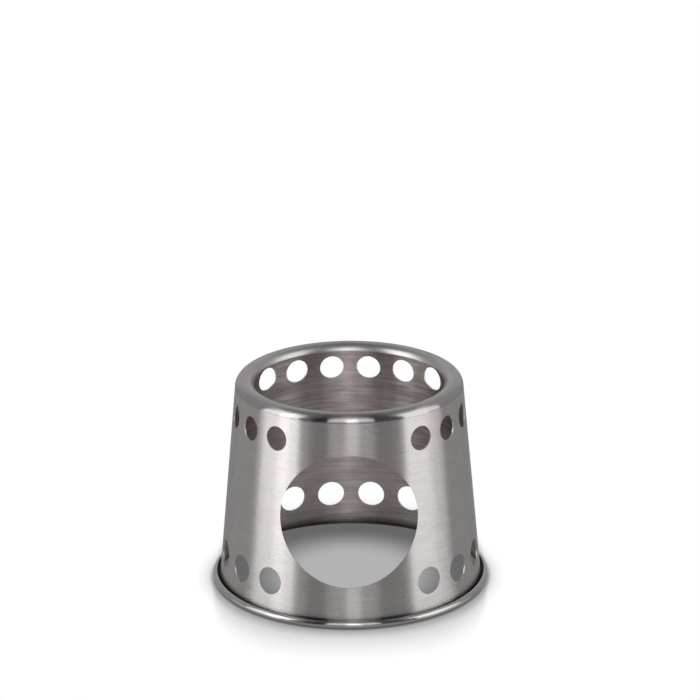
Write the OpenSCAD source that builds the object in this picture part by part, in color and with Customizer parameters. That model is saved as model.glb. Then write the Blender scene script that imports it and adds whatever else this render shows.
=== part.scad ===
// Tapered sheet steel stand for a small spirit burner or twig fire.
// One thin sheet, rolled inward at the top and curled outward at the base,
// with a round opening at the front and two rows of round vents.
// The axis is Z, the floor is at z = 0 and the front opening faces -Y.

/* [Overall size] */
// Height from the floor to the flat where a pot rests
total_h = 92.5; // [80:0.5:110]
// Widest diameter, across the base curl
foot_d = 120; // [112:0.5:135]
// Lean of the wall from upright, in degrees
wall_lean = 5.2; // [3:0.1:8]
// Sheet thickness
sheet_t = 0.6; // [0.4:0.05:0.9]

/* [Top roll] */
// Outer radius of the half-round shoulder
roll_r = 4.1; // [3:0.1:6]
// Where the lip ends, in degrees round the roll from its outer side
lip_end = 168; // [130:1:175]
// Width of the flat that a pot rests on
pot_flat_w = 1.2; // [0.6:0.1:2]

/* [Base curl] */
// Outer diameter of the curled bead
curl_d = 3.5; // [2.8:0.1:5]
// Where the free edge ends, in degrees round the bead from its outer side
curl_end = 80; // [60:1:110]
// Width of the flat that stands on the floor
floor_flat_w = 1; // [0.5:0.1:1.6]

/* [Vents] */
// Vents in each row
vents_per_row = 16; // [10:1:16]
// Angle from one vent to the next, in degrees
vent_pitch = 19; // [17:0.5:19.5]
// Diameter of the vents in the upper row
upper_vent_d = 10.6; // [6:0.1:12]
// Depth of the upper vents' centres below the pot rest
upper_vent_drop = 13.5; // [12:0.5:16]
// Diameter of the vents in the lower row
lower_vent_d = 11.9; // [6:0.1:13]
// Height of the lower vents' centres above the floor
lower_vent_h = 16; // [12:0.5:20]

/* [Front opening] */
// Diameter of the front opening
opening_d = 58.2; // [40:0.2:62]
// Height of the opening's centre above the floor
opening_h = 46.2; // [44:0.2:50]

/* [Hidden] */
$fn = 180;

// How far a punch reaches past each side of the sheet
punch_reach = 3;
// Azimuth of the middle of each vent row, straight behind the opening
back_azimuth = 180;

// Radii and centre of the bead, set so that its underside leaves the floor flat
curl_r = curl_d / 2;
curl_hollow_r = curl_r - sheet_t;
curl_x = foot_d / 2 - curl_r;
curl_z = sqrt(pow(curl_r, 2) - pow(floor_flat_w / 2, 2));

// Inner radius and centre of the roll, set so that its crown leaves the pot flat
roll_hollow_r = roll_r - sheet_t;
roll_z = total_h - sqrt(pow(roll_r, 2) - pow(pot_flat_w / 2, 2));
roll_x = wall_r(roll_z) - roll_r / cos(wall_lean);

// Outer radius of the wall at height z: its outer face runs on into the bead's hollow side
function wall_r(z) = curl_x - curl_hollow_r / cos(wall_lean) - (z - curl_z) * tan(wall_lean);

// A point at radius r and angle a
function polar(r, a) = [r * cos(a), r * sin(a)];

// How deep a round hole of radius r bows into a wall of radius wall
function bow(wall, r) = wall - sqrt(pow(wall, 2) - pow(r, 2));

// A fan from angle a to angle b that covers a circle of radius r
module fan(r, a, b) {
    steps = 8;
    reach = 2 * r;
    polygon(concat([[0, 0]], [for (i = [0 : steps]) polar(reach, a + (b - a) * i / steps)]));
}

// Sheet bent round the origin from angle a to angle b, with its outer face at radius r
module bent_sheet(r, a, b) {
    difference() {
        circle(r);
        circle(r - sheet_t);
        fan(r, b, a + 360);
    }
}

// A round punch square to the wall, at height z and at an azimuth from the front
module punch(d, z, azimuth) {
    depth = 2 * (bow(wall_r(z), d / 2) + punch_reach);
    rotate([0, 0, azimuth])
        translate([0, -wall_r(z), z])
            rotate([90 - wall_lean, 0, 0])
                cylinder(h = depth, d = d, center = true);
}

// A row of punches, even on both sides of the back, which leaves the front bare
module vent_row(d, z) {
    for (i = [0 : vents_per_row - 1])
        punch(d, z, back_azimuth + (i - (vents_per_row - 1) / 2) * vent_pitch);
}

// The straight sheet between the bead and the roll, square cut where each bend starts
module wall_blank() {
    foot = [curl_x, curl_z];
    head = [roll_x, roll_z];
    rotate_extrude()
        polygon([
            foot + polar(curl_hollow_r, 180 + wall_lean),
            head + polar(roll_r, wall_lean),
            head + polar(roll_hollow_r, wall_lean),
            foot + polar(curl_r, 180 + wall_lean)
        ]);
}

module tapered_wall() {
    color("#a39e9b")
        difference() {
            wall_blank();
            vent_row(upper_vent_d, total_h - upper_vent_drop);
            vent_row(lower_vent_d, lower_vent_h);
            punch(opening_d, opening_h, 0);
        }
}

// The shoulder and the turned-down lip
module top_ring() {
    color("#b7b6b4")
        rotate_extrude()
            difference() {
                translate([roll_x, roll_z])
                    bent_sheet(roll_r, wall_lean, lip_end);
                translate([roll_x - roll_r, total_h])
                    square([2 * roll_r, roll_r]);
            }
}

// The open bead: down from the wall, under, up outside and over to its free edge
module base_curl() {
    color("#8e8c8a")
        rotate_extrude()
            difference() {
                translate([curl_x, curl_z])
                    bent_sheet(curl_r, 180 + wall_lean, 360 + curl_end);
                translate([curl_x - curl_r, -curl_r])
                    square([curl_d, curl_r]);
            }
}

tapered_wall();
top_ring();
base_curl();
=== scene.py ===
import math
import bpy
import bmesh
from mathutils import Matrix, Vector


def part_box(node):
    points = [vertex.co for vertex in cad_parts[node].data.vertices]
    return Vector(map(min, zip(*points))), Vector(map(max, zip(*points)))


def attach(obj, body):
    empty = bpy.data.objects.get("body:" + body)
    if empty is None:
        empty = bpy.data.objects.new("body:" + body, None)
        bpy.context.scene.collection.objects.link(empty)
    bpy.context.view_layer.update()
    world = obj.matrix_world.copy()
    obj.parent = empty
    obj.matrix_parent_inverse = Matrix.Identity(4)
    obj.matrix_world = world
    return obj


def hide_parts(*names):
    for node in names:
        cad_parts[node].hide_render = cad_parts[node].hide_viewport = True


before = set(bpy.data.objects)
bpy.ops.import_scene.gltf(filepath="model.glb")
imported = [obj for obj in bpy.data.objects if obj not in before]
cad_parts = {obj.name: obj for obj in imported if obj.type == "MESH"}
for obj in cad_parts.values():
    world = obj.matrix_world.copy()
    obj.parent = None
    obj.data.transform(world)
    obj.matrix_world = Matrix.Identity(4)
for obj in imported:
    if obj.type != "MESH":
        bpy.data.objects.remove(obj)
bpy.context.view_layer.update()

scene = bpy.context.scene
mm = 0.001
smoothAngle = 35              # degrees, below which two faces shade as one

# The formed sheet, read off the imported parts
ringLow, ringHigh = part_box("top_ring")
curlLow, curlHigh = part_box("base_curl")
sheet = {
    "thickness": 0.6 * mm,
    "lean": 5.2,              # degrees from upright
}
lean = math.radians(sheet["lean"])

curl = {
    "radius": 1.75 * mm,
    "floorFlat": 1.0 * mm,
    "end": 80,                # degrees round the bead from its outer side
    "steps": 72,
    "stepsRound": 360,
}
curl["x"] = curlHigh.x - curl["radius"]
curl["z"] = math.sqrt(curl["radius"] ** 2 - (curl["floorFlat"] / 2) ** 2)

roll = {
    "radius": 4.1 * mm,
    "potFlat": 1.2 * mm,
    "end": 168,               # degrees round the roll from its outer side
    "steps": 84,
    "stepsRound": 360,
}
roll["z"] = ringHigh.z - math.sqrt(roll["radius"] ** 2 - (roll["potFlat"] / 2) ** 2)


def wallRadius(z):
    hollow = curl["radius"] - sheet["thickness"]
    return curl["x"] - hollow / math.cos(lean) - (z - curl["z"]) * math.tan(lean)


roll["x"] = wallRadius(roll["z"]) - roll["radius"] / math.cos(lean)


def deselectAll():
    if bpy.context.object and bpy.context.object.mode != "OBJECT":
        bpy.ops.object.mode_set(mode="OBJECT")
    bpy.ops.object.select_all(action="DESELECT")


def makeActive(obj):
    deselectAll()
    obj.select_set(True)
    bpy.context.view_layer.objects.active = obj


def oneVertex(name, place):
    # a plane merged to its middle is the start of a drawn profile
    deselectAll()
    bpy.ops.mesh.primitive_plane_add(size=1 * mm, location=place)
    obj = bpy.context.object
    obj.name = name
    bpy.ops.object.transform_apply(location=True, rotation=True, scale=True)
    bpy.ops.object.mode_set(mode="EDIT")
    bpy.ops.mesh.select_all(action="SELECT")
    bpy.ops.mesh.merge(type="CENTER")
    return obj


def selectVerts(obj, test):
    mesh = bmesh.from_edit_mesh(obj.data)
    for vert in mesh.verts:
        vert.select = test(vert.co)
    mesh.select_flush_mode()
    bmesh.update_edit_mesh(obj.data)


def bendPoint(part, radius, degrees):
    a = math.radians(degrees)
    return Vector((part["x"] + radius * math.cos(a), 0, part["z"] + radius * math.sin(a)))


def bendArc(part, start, end):
    # turns the drawn vertex round the bend's centre, counted from the outer side over the top
    bpy.ops.mesh.spin(
        steps=part["steps"],
        angle=math.radians(end - start),
        center=(part["x"], 0, part["z"]),
        axis=(0, 1, 0),
    )


def easeFlat(obj, part, height, test):
    # brings the round down to the flat that it rests on, with no edge
    selectVerts(obj, test)
    bpy.ops.transform.resize(
        value=(1, 1, height / part["radius"]),
        center_override=(part["x"], 0, part["z"]),
        orient_type="GLOBAL",
    )


def revolve(steps):
    bpy.ops.mesh.select_all(action="SELECT")
    bpy.ops.mesh.spin(steps=steps, angle=math.tau, center=(0, 0, 0), axis=(0, 0, 1))
    bpy.ops.mesh.select_all(action="SELECT")
    bpy.ops.mesh.remove_doubles(threshold=0.001 * mm)
    bpy.ops.mesh.normals_make_consistent(inside=False)
    bpy.ops.object.mode_set(mode="OBJECT")


def faceAway(obj, radius, height):
    # faces point away from the middle of the bend, before the sheet gets its thickness
    face = obj.data.polygons[len(obj.data.polygons) // 2]
    outward = Vector((face.center.x, face.center.y, 0)).normalized()
    middle = outward * radius + Vector((0, 0, height))
    if (face.center - middle).dot(face.normal) < 0:
        makeActive(obj)
        bpy.ops.object.mode_set(mode="EDIT")
        bpy.ops.mesh.select_all(action="SELECT")
        bpy.ops.mesh.flip_normals()
        bpy.ops.object.mode_set(mode="OBJECT")


def applyModifier(obj, kind, **settings):
    makeActive(obj)
    modifier = obj.modifiers.new(kind.title(), kind)
    for key, value in settings.items():
        setattr(modifier, key, value)
    bpy.ops.object.modifier_apply(modifier=modifier.name)


def thicken(obj):
    # the drawn face is the outer one, and the sheet grows inwards from it
    applyModifier(
        obj, "SOLIDIFY", thickness=sheet["thickness"], offset=-1, use_even_offset=True
    )


# Top ring: the shoulder rolled over a half round, and its turned-down lip
def makeRing():
    ring = oneVertex("rolledRing", bendPoint(roll, roll["radius"], sheet["lean"]))
    bendArc(roll, sheet["lean"], roll["end"])
    easeFlat(ring, roll, ringHigh.z - roll["z"], lambda place: place.z > roll["z"])
    revolve(roll["stepsRound"])
    faceAway(ring, roll["x"], roll["z"])
    thicken(ring)
    return ring


# Base curl: the bead, open along its top beside the wall
def makeBead():
    bead = oneVertex("curledBead", bendPoint(curl, curl["radius"], 180 + sheet["lean"]))
    bendArc(curl, 180 + sheet["lean"], 360 + curl["end"])
    easeFlat(bead, curl, curl["z"], lambda place: place.z < curl["z"])
    revolve(curl["stepsRound"])
    faceAway(bead, curl["x"], curl["z"])
    thicken(bead)
    return bead


holes = {
    "perRow": 16,
    "pitch": 19,              # degrees between neighbours
    "sides": 96,
    "upperRadius": 5.3 * mm,
    "upperDrop": 13.5 * mm,   # below the pot rest
    "lowerRadius": 5.95 * mm,
    "lowerHeight": 16 * mm,
    "frontRadius": 29.1 * mm,
    "frontHeight": 46.2 * mm,
    "frontSides": 360,
    "punchReach": 3 * mm,     # past each side of the sheet
    "stepsRound": 720,        # facets round the wall
}


def makePunch(radius, height, azimuth, sides):
    # a punch square to the wall, its azimuth counted from the front
    wall = wallRadius(height)
    bow = wall - math.sqrt(wall ** 2 - radius ** 2)
    deselectAll()
    bpy.ops.mesh.primitive_cylinder_add(
        vertices=sides, radius=radius, depth=2 * (bow + holes["punchReach"])
    )
    punch = bpy.context.object
    turn = Matrix.Rotation(math.radians(azimuth), 4, "Z")
    tip = Matrix.Rotation(math.radians(90 - sheet["lean"]), 4, "X")
    punch.matrix_world = turn @ Matrix.Translation((0, -wall, height)) @ tip
    return punch


def makePunches():
    punches = [makePunch(holes["frontRadius"], holes["frontHeight"], 0, holes["frontSides"])]
    rows = (
        (holes["upperRadius"], ringHigh.z - holes["upperDrop"]),
        (holes["lowerRadius"], holes["lowerHeight"]),
    )
    for i in range(holes["perRow"]):
        # even on both sides of the back, which leaves the front bare
        azimuth = 180 + (i - (holes["perRow"] - 1) / 2) * holes["pitch"]
        for radius, height in rows:
            punches.append(makePunch(radius, height, azimuth, holes["sides"]))
    deselectAll()
    for punch in punches:
        punch.select_set(True)
    bpy.context.view_layer.objects.active = punches[0]
    bpy.ops.object.join()
    return bpy.context.object


# Tapered wall: the straight sheet between the bead and the roll, with its punched holes
def makeWall():
    foot = bendPoint(curl, curl["radius"] - sheet["thickness"], 180 + sheet["lean"])
    head = bendPoint(roll, roll["radius"], sheet["lean"])
    wall = oneVertex("perforatedWall", foot)
    bpy.ops.mesh.extrude_region_move(TRANSFORM_OT_translate={"value": head - foot})
    revolve(holes["stepsRound"])
    faceAway(wall, 0, head.z / 2)
    thicken(wall)
    punches = makePunches()
    applyModifier(wall, "BOOLEAN", operation="DIFFERENCE", solver="EXACT", object=punches)
    bpy.data.objects.remove(punches)
    print("stage: wall punched,", len(wall.data.polygons), "faces")
    return wall


ring = makeRing()
bead = makeBead()
wall = makeWall()
for piece, node, slotName in (
    (wall, "tapered_wall", "brushed_wall"),
    (ring, "top_ring", "polished_ring"),
    (bead, "base_curl", "polished_curl"),
):
    makeActive(piece)
    bpy.ops.object.shade_smooth_by_angle(angle=math.radians(smoothAngle))
    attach(piece, "root")
    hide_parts(node)
print("stage: pieces made")


class Socket:
    # a value in a shader, so that its maths reads as plain Python
    def __init__(self, tree, link):
        self.tree = tree
        self.link = link

    def node(self, kind, settings=None, out=0, **inputs):
        made = self.tree.nodes.new(kind)
        for key, value in (settings or {}).items():
            setattr(made, key, value)
        for key, value in inputs.items():
            plug = made.inputs[int(key[1:])] if key[1:].isdigit() else made.inputs[key]
            if isinstance(value, Socket):
                self.tree.links.new(value.link, plug)
            else:
                plug.default_value = value
        return Socket(self.tree, made.outputs[out])

    def maths(self, operation, first, second):
        return self.node("ShaderNodeMath", {"operation": operation}, i0=first, i1=second)

    def __add__(self, other):
        return self.maths("ADD", self, other)

    __radd__ = __add__

    def __mul__(self, other):
        return self.maths("MULTIPLY", self, other)

    __rmul__ = __mul__

    def __sub__(self, other):
        return self.maths("SUBTRACT", self, other)

    def __rsub__(self, other):
        return self.maths("SUBTRACT", other, self)

    def __pow__(self, other):
        return self.maths("POWER", self, other)

    def over(self, other):
        return self.maths("GREATER_THAN", self, other)

    def least(self, other):
        return self.maths("MINIMUM", self, other)

    def most(self, other):
        return self.maths("MAXIMUM", self, other)


def reachFrom(tree, scale):
    # distance from the axis or the origin, with each direction scaled
    place = Socket(tree, None).node("ShaderNodeTexCoord", out="Object")
    level = place.node("ShaderNodeVectorMath", {"operation": "MULTIPLY"}, i0=place, i1=scale)
    return place.node("ShaderNodeVectorMath", {"operation": "LENGTH"}, out="Value", i0=level)


def startMaterial(name):
    material = bpy.data.materials.new(name)
    material.use_nodes = True
    tree = material.node_tree
    return material, tree, tree.nodes["Principled BSDF"]


def grain(tree, across, along, detail=2.0):
    # noise drawn out round the axis: grains a metre across it and along it
    start = Socket(tree, None)
    place = start.node("ShaderNodeTexCoord", out="Object")
    drawn = place.node("ShaderNodeMapping", Vector=place, Scale=(along, along, across))
    return place.node("ShaderNodeTexNoise", out="Fac", Vector=drawn, Scale=1.0, Detail=detail)


def blend(value, low, high):
    # a colour between two others
    low, high = [tone if isinstance(tone, Socket) else (*tone, 1) for tone in (low, high)]
    return value.node(
        "ShaderNodeMix", {"data_type": "RGBA"}, out=2, Factor=value, i6=low, i7=high
    )


def spread(value, limits, low, high=1.0):
    # from a low value to a high one between two limits
    return value.node(
        "ShaderNodeMapRange", i0=value, i1=limits[0], i2=limits[1], i3=low, i4=high
    )


# Finishes of the one sheet: a wheel went round the axis, so they spread light up and down.
# Lines, patches and dents are given as grains a metre across the brushing and along it.
outerWall = {
    "dark": (0.56, 0.532, 0.524),
    "pale": (0.625, 0.593, 0.584),
    "roughness": (0.265, 0.29),
    "brushed": 1.0,
    "lines": (2400, 120),
    "patches": (250, 60),
    "dents": (1200, 60),
    "dentDepth": 0.012 * mm,
    # painted shade: the wall darkens to this colour near its foot, in the groove beside the
    # bead
    "footShade": (0.04, 0.036, 0.033),
    "footShadeHeight": (2.5 * mm, 3.0 * mm),  # painted shade in the groove beside the bead
}

innerWall = {
    "dark": (0.47, 0.41, 0.395),
    "pale": (0.70, 0.63, 0.61),
    "roughness": (0.28, 0.36),
    "brushed": 1.0,
    "lines": (900, 60),
    "patches": (350, 120),
    "dents": (900, 40),
    "dentDepth": 0.05 * mm,
    # painted shade: the inner wall darkens to this colour towards its foot, where it meets
    # the floor
    "footShade": (0.07, 0.06, 0.057),
    "footShadeHeight": (1.2 * mm, 5.0 * mm),
}

cutEdge = {
    "facing": 0.8,            # a face of the wall that looks less than this in or out is cut
    "dark": (0.68, 0.655, 0.64),
    "pale": (0.78, 0.755, 0.74),
    "roughness": (0.38, 0.46),
    "brushed": 0.0,
    "lines": (1500, 300),
    "patches": (500, 300),
    "dents": (900, 300),
    "dentDepth": 0.02 * mm,
}

shoulder = {
    "dark": (0.415, 0.406, 0.403),
    "pale": (0.48, 0.469, 0.464),
    "roughness": (0.18, 0.21),
    "brushed": 1.0,
    "lines": (1500, 30),
    "patches": (400, 60),
    "dents": (500, 200),
    "dentDepth": 0.05 * mm,
}

lip = {
    "dark": (0.50, 0.478, 0.47),
    "pale": (0.58, 0.556, 0.546),
    "roughness": (0.30, 0.34),
    "brushed": 0.0,
    "lines": (1500, 60),
    "patches": (400, 100),
    "dents": (500, 300),
    "dentDepth": 0.03 * mm,
    "limits": (-0.2, 0.4),    # where it gives way to the shoulder, in radii of the roll
}

beadSteel = {
    "dark": (0.46, 0.448, 0.44),
    "pale": (0.55, 0.537, 0.528),
    "roughness": (0.17, 0.2),
    "brushed": 1.0,
    "lines": (2000, 30),
    "patches": (600, 60),
    "dents": (500, 200),
    "dentDepth": 0.03 * mm,
}

# painted shade: near-black steel where the bead's hollow side, cut edge and inner faces lie
# in shade
hollowShadeSteel = {
    "insideFrom": 0.6,        # radii of the bead inwards of its middle
    "dark": (0.09, 0.082, 0.077),
    "pale": (0.14, 0.13, 0.123),
    "roughness": (0.46, 0.54),
    "brushed": 1.0,
    "lines": (2000, 20),
    "patches": (600, 90),
    "dents": (500, 200),
    "dentDepth": 0.03 * mm,
}


# What all the finishes share
steel = {
    "lineShare": 0.6,         # of the streak, the rest is patches
    "streakLimits": (0.3, 0.7),
    "turn": 0.25,             # turns the spread of light upright
}


def finishSteel(tree, shader, finish):
    lines = grain(tree, *finish["lines"], detail=0.0)
    patches = grain(tree, *finish["patches"], detail=1.0)
    streak = lines * steel["lineShare"] + patches * (1 - steel["lineShare"])
    streak = spread(streak, steel["streakLimits"], 0.0)
    color = blend(streak, finish["dark"], finish["pale"])
    # painted shade: darker towards the foot, below the given height
    if "footShade" in finish:
        unshaded = spread(reachFrom(tree, (0, 0, 1)), finish["footShadeHeight"], 0.0)
        color = blend(unshaded, finish["footShade"], color)
    tree.links.new(color.link, shader.inputs["Base Color"])
    smooth, coarse = finish["roughness"]
    tree.links.new((streak * (coarse - smooth) + smooth).link, shader.inputs["Roughness"])
    dents = grain(tree, *finish["dents"], detail=0.0)
    bump = dents.node(
        "ShaderNodeBump", Height=dents, Distance=finish["dentDepth"], Strength=1.0
    )
    tree.links.new(bump.link, shader.inputs["Normal"])
    shader.inputs["Metallic"].default_value = 1
    shader.inputs["Anisotropic"].default_value = finish["brushed"]
    shader.inputs["Anisotropic Rotation"].default_value = steel["turn"]


def makeSteel(name, finish):
    material, tree, shader = startMaterial(name)
    finishSteel(tree, shader, finish)
    return material


def makeRingSteel():
    # the outer side is polished round the axis, and the turned-down lip is left satin
    material, tree, shader = startMaterial("polishedRing")
    finishSteel(tree, shader, lip)
    outer = Socket(tree, None).node("ShaderNodeBsdfPrincipled")
    finishSteel(tree, outer.link.node, shoulder)
    limits = [roll["x"] + share * roll["radius"] for share in lip["limits"]]
    share = spread(reachFrom(tree, (1, 1, 0)), limits, 0.0)
    satin = Socket(tree, shader.outputs[0])
    mixed = share.node("ShaderNodeMixShader", i0=share, i1=satin, i2=outer)
    tree.links.new(mixed.link, tree.nodes["Material Output"].inputs["Surface"])
    return material


def hollowSide(obj, part, material):
    # painted shade: a near-black steel on the hollow side of a bend, its cut edge and what is
    # inside the stand
    obj.data.materials.append(material)
    middle = part["radius"] - sheet["thickness"] / 4
    for face in obj.data.polygons:
        away = math.hypot(face.center.x, face.center.y) - part["x"]
        hollow = math.hypot(away, face.center.z - part["z"]) < middle
        if hollow or away < -hollowShadeSteel["insideFrom"] * part["radius"]:
            face.material_index = 1


def wallSides(obj, inner, cut):
    # the sheet's inner side, and the edges that the punches cut through it
    obj.data.materials.append(inner)
    obj.data.materials.append(cut)
    for face in obj.data.polygons:
        facing = face.normal.dot(Vector((face.center.x, face.center.y, 0)).normalized())
        if abs(facing) < cutEdge["facing"]:
            face.material_index = 2
        elif facing < 0:
            face.material_index = 1


wall.data.materials.append(makeSteel("brushedSteel", outerWall))
wallSides(wall, makeSteel("innerSteel", innerWall), makeSteel("cutSteel", cutEdge))
ring.data.materials.append(makeRingSteel())
bead.data.materials.append(makeSteel("polishedBead", beadSteel))
hollowSide(bead, curl, makeSteel("shadedHollowBead", hollowShadeSteel))
print("stage: steel finished")


# Camera where the photograph was taken from
view = {
    "lens": 169.14,           # mm on a 36 mm sensor
    "distance": 1330.2 * mm,  # level, from the axis
    "height": 574.3 * mm,
    "azimuth": 0.57,          # degrees round the object, towards +X
    "lookDown": 19.46,
    "heading": -0.019,
    "roll": -0.375,
}


def makeCamera():
    data = bpy.data.cameras.new("photoCamera")
    data.lens = view["lens"]
    data.sensor_width = 36
    data.clip_start = 0.05
    data.clip_end = 50
    camera = bpy.data.objects.new("photoCamera", data)
    scene.collection.objects.link(camera)
    around = Matrix.Rotation(math.radians(view["azimuth"]), 4, "Z")
    place = around @ Matrix.Translation((0, -view["distance"], view["height"]))
    aim = Matrix.Rotation(math.radians(view["heading"]), 4, "Z")
    tilt = Matrix.Rotation(math.radians(90 - view["lookDown"]), 4, "X")
    level = Matrix.Rotation(math.radians(view["roll"]), 4, "Z")
    camera.matrix_world = place @ aim @ tilt @ level
    scene.camera = camera


makeCamera()

studio = {
    "floorSize": 12.0,
    "white": 1.0,             # what the camera, metal and glass see of the backdrop
    "fill": 0.72,             # even light from the room on the floor
    "floorColor": 0.86,
    "cardDistance": 2.2,
    "ceilingHeight": 3.0,
    "ceilingMiddle": 0.9,     # radius
    "tableRise": 1 * mm,      # of the table's cards above the floor
    "cardSteps": 36,
}

# The stand's shadow on the floor: the softboxes at both sides cut it short there
shadow = {
    "insideMiddle": 0.451,    # brightness of the floor that the stand surrounds
    "insideEdge": 0.137,
    "insideReach": (22 * mm, 52 * mm),
    "insideWide": 1.08,       # it closes in sooner at both sides
    "roomReach": 150 * mm,    # how far up the stand shuts out the room
    "room": (0.36, 0.60),     # share of open room at which the floor is dimmest and brightest
    "roomDim": 0.45,
    "frontReach": 35 * mm,    # how far the soft edge spreads in front
    "sideReach": 8 * mm,
    "edgePower": 1.8,
    "edgeDim": 0.38,
    "contactShare": 0.25,     # reach of the dark line under the bead, beside the soft edge's
    "contactDim": 0.8,
    "samples": 16,
}


def lightPath(tree):
    # 1 for camera, glossy and transmission rays, 0 for all others
    path = tree.nodes.new("ShaderNodeLightPath")
    seen = Socket(tree, path.outputs["Is Camera Ray"])
    glossy = Socket(tree, path.outputs["Is Glossy Ray"])
    through = Socket(tree, path.outputs["Is Transmission Ray"])
    return seen.most(glossy).most(through)


def openShare(start, reach):
    # how much of what is above a point of the floor is open, up to a reach
    return start.node(
        "ShaderNodeAmbientOcclusion", {"samples": shadow["samples"]}, out="AO", Distance=reach
    )


def makeShade(tree):
    place = Socket(tree, None).node("ShaderNodeTexCoord", out="Object")
    aside = place.node("ShaderNodeSeparateXYZ", Vector=place) * (1 / curlHigh.x)
    square = aside * aside
    side = ((square * square) ** 2).least(1.0)
    reach = side * (shadow["sideReach"] - shadow["frontReach"]) + shadow["frontReach"]
    room = spread(openShare(place, shadow["roomReach"]), shadow["room"], shadow["roomDim"])
    edge = openShare(place, reach) ** shadow["edgePower"]
    contact = openShare(place, reach * shadow["contactShare"]) ** 2
    outside = room * edge.most(shadow["edgeDim"]) * contact.most(shadow["contactDim"])
    inside = place.node(
        "ShaderNodeMapRange",
        {"interpolation_type": "SMOOTHSTEP"},
        i0=reachFrom(tree, (shadow["insideWide"], 1, 0)),
        i1=shadow["insideReach"][0],
        i2=shadow["insideReach"][1],
        i3=shadow["insideMiddle"],
        i4=shadow["insideEdge"],
    )
    beyond = reachFrom(tree, (1, 1, 0)).over(curl["x"])
    return beyond * outside + (1 - beyond) * inside


def makeFloor():
    deselectAll()
    bpy.ops.mesh.primitive_plane_add(size=studio["floorSize"], location=(0, 0, 0))
    floor = bpy.context.object
    floor.name = "floor"
    material, tree, shader = startMaterial("paleFloor")
    seen = lightPath(tree)
    own = (1 - seen) * studio["floorColor"]
    shown = seen * makeShade(tree)
    for tone, plug in ((own, "Base Color"), (shown, "Emission Color")):
        gray = tone.node("ShaderNodeCombineColor", i0=tone, i1=tone, i2=tone)
        tree.links.new(gray.link, shader.inputs[plug])
    shader.inputs["Roughness"].default_value = 1
    shader.inputs["Specular IOR Level"].default_value = 0
    shader.inputs["Emission Strength"].default_value = 1
    floor.data.materials.append(material)


def makeWorld():
    world = bpy.data.worlds.new("studio")
    scene.world = world
    world.use_nodes = True
    tree = world.node_tree
    background = tree.nodes["Background"]
    background.inputs["Color"].default_value = (1, 1, 1, 1)
    seen = lightPath(tree)
    level = seen * (studio["white"] - studio["fill"]) + studio["fill"]
    tree.links.new(level.link, background.inputs["Strength"])


def makeLamp(name, distance, azimuth, width, low, high, radiance):
    # a softbox that faces the axis, its azimuth counted from the front
    data = bpy.data.lights.new(name, "AREA")
    data.shape = "RECTANGLE"
    data.size = width
    data.size_y = high - low
    data.energy = radiance * math.pi * width * (high - low)
    lamp = bpy.data.objects.new(name, data)
    scene.collection.objects.link(lamp)
    turn = Matrix.Rotation(math.radians(azimuth), 4, "Z")
    place = Matrix.Translation((0, -distance, (low + high) / 2))
    lamp.matrix_world = turn @ place @ Matrix.Rotation(math.radians(90), 4, "X")
    lamp.visible_camera = False


def makeCard(name, near, far, start, end, tone):
    # a card bent round the object that only metal sees: its two edges are given as
    # radius and height, its two ends as azimuths
    card = oneVertex(name, (0, -near[0], near[1]))
    reach = (0, near[0] - far[0], far[1] - near[1])
    bpy.ops.mesh.extrude_region_move(TRANSFORM_OT_translate={"value": reach})
    bpy.ops.mesh.select_all(action="SELECT")
    bpy.ops.transform.rotate(
        value=-math.radians(start), orient_axis="Z", center_override=(0, 0, 0)
    )
    bpy.ops.mesh.spin(
        steps=studio["cardSteps"],
        angle=math.radians(end - start),
        center=(0, 0, 0),
        axis=(0, 0, -1),
    )
    bpy.ops.object.mode_set(mode="OBJECT")
    material = bpy.data.materials.new(name)
    material.use_nodes = True
    tree = material.node_tree
    tree.nodes.clear()
    glow = tree.nodes.new("ShaderNodeEmission")
    glow.inputs["Color"].default_value = (tone, tone, tone, 1)
    output = tree.nodes.new("ShaderNodeOutputMaterial")
    tree.links.new(glow.outputs[0], output.inputs["Surface"])
    card.data.materials.append(material)
    card.visible_camera = False
    card.visible_diffuse = False
    card.visible_shadow = False


# What the metal sees round it: from one azimuth to another, the tones of the room's
# side, of the ceiling's edge and middle, and of the table beside the stand and far away
sectors = {
    "FrontLeft": (-22, -3, 0.02, 0.35, 0.5, 0.4, 0.4),
    "Front": (-3, 10, 0.02, 0.35, 0.5, 0.56, 0.56),
    "FrontRight": (10, 27, 0.02, 0.35, 0.5, 0.4, 0.4),
    "LeftEdge": (-50, -38, 0.18, 0.12, 0.1, 0.45, 0.45),
    "LeftGap": (-38, -22, 0.02, 0.08, 0.1, 0.38, 0.38),
    "RightGap": (27, 55, 0.09, 0.08, 0.1, 0.36, 0.36),
    "Left": (-97, -50, 0.3, 0.25, 0.15, 0.78, 1.2),
    "Right": (55, 85, 0.3, 0.25, 0.15, 0.72, 1.1),
    "RightEdge": (85, 101, 0.3, 0.25, 0.15, 0.7, 0.7),
    "LeftFlag": (-146, -97, 0.42, 0.22, 0.1, 0.37, 0.37),
    "RightFlag": (101, 146, 0.42, 0.25, 0.1, 0.34, 0.34),
    "Back": (146, 214, 0.5, 0.33, 0.2, 0.3, 0.3),
}

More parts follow.
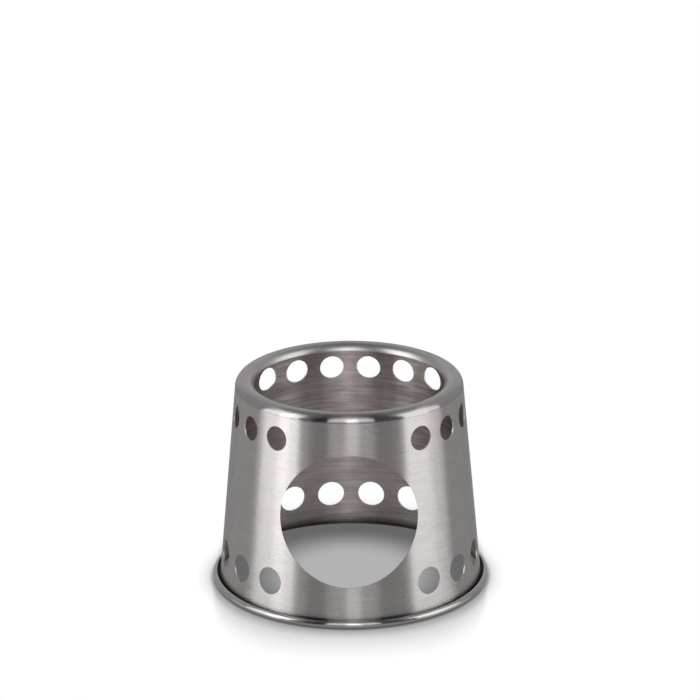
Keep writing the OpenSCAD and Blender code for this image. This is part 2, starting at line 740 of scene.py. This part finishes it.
# Rings of the table, by their inner and outer radius. A sector's edge lies nearer to the
# front beside the stand than far from it, so that its reflection runs straight down the wall.
tableRings = (
    ("Near", 61 * mm, 85 * mm, 0.62),
    ("Middle", 85 * mm, 150 * mm, 0.757),
    ("Far", 150 * mm, 320 * mm, 0.867),
    ("Edge", 320 * mm, 2.2, 0.96),
)


# Softboxes: distance, azimuth from the front, width, lowest and highest edge, radiance
lamps = {
    "leftSoftbox": (1.5, -70, 1.15, 0.02, 1.7, 1.55),
    "leftCore": (1.48, -65, 0.3, 0.02, 1.7, 1.3),
    "rightSoftbox": (1.5, 70, 0.80, 0.02, 1.7, 1.45),
    "rightEdge": (1.5, 92, 0.36, 0.02, 1.7, 1.2),
    "frontSoftbox": (1.5, 2.5, 1.24, 0.36, 1.8, 1.3),
    "frontCore": (1.48, 3, 0.32, 0.32, 1.8, 1.3),
    "leftSpill": (1.5, -78, 1.7, 1.7, 2.2, 0.35),
    "rightSpill": (1.5, 80, 1.7, 1.7, 2.2, 0.3),
    "frontSpill": (1.5, 3, 1.15, 1.8, 2.4, 0.6),
}


def makeTable(name, start, end, beside, away):
    rise = studio["tableRise"]
    for i, (place, near, far, share) in enumerate(tableRings):
        # the sector behind the stand takes what the others' bent edges leave
        last = 360 - start * share if name == "Back" else end * share
        tone = beside + (away - beside) * i / (len(tableRings) - 1)
        makeCard("table" + place + name, (near, rise), (far, rise), start * share, last, tone)


def makeStudio():
    side = studio["cardDistance"]
    top = studio["ceilingHeight"]
    middle = studio["ceilingMiddle"]
    for name, lamp in lamps.items():
        makeLamp(name, *lamp)
    for name, (start, end, room, ceiling, crown, beside, away) in sectors.items():
        makeCard("room" + name, (side, 0), (side, top), start, end, room)
        makeCard("ceiling" + name, (side, top), (middle, top), start, end, ceiling)
        makeCard("crown" + name, (middle, top), (1 * mm, top), start, end, crown)
        makeTable(name, start, end, beside, away)


makeFloor()
makeWorld()
makeStudio()
scene.view_settings.view_transform = "Standard"
print("stage: studio lit")
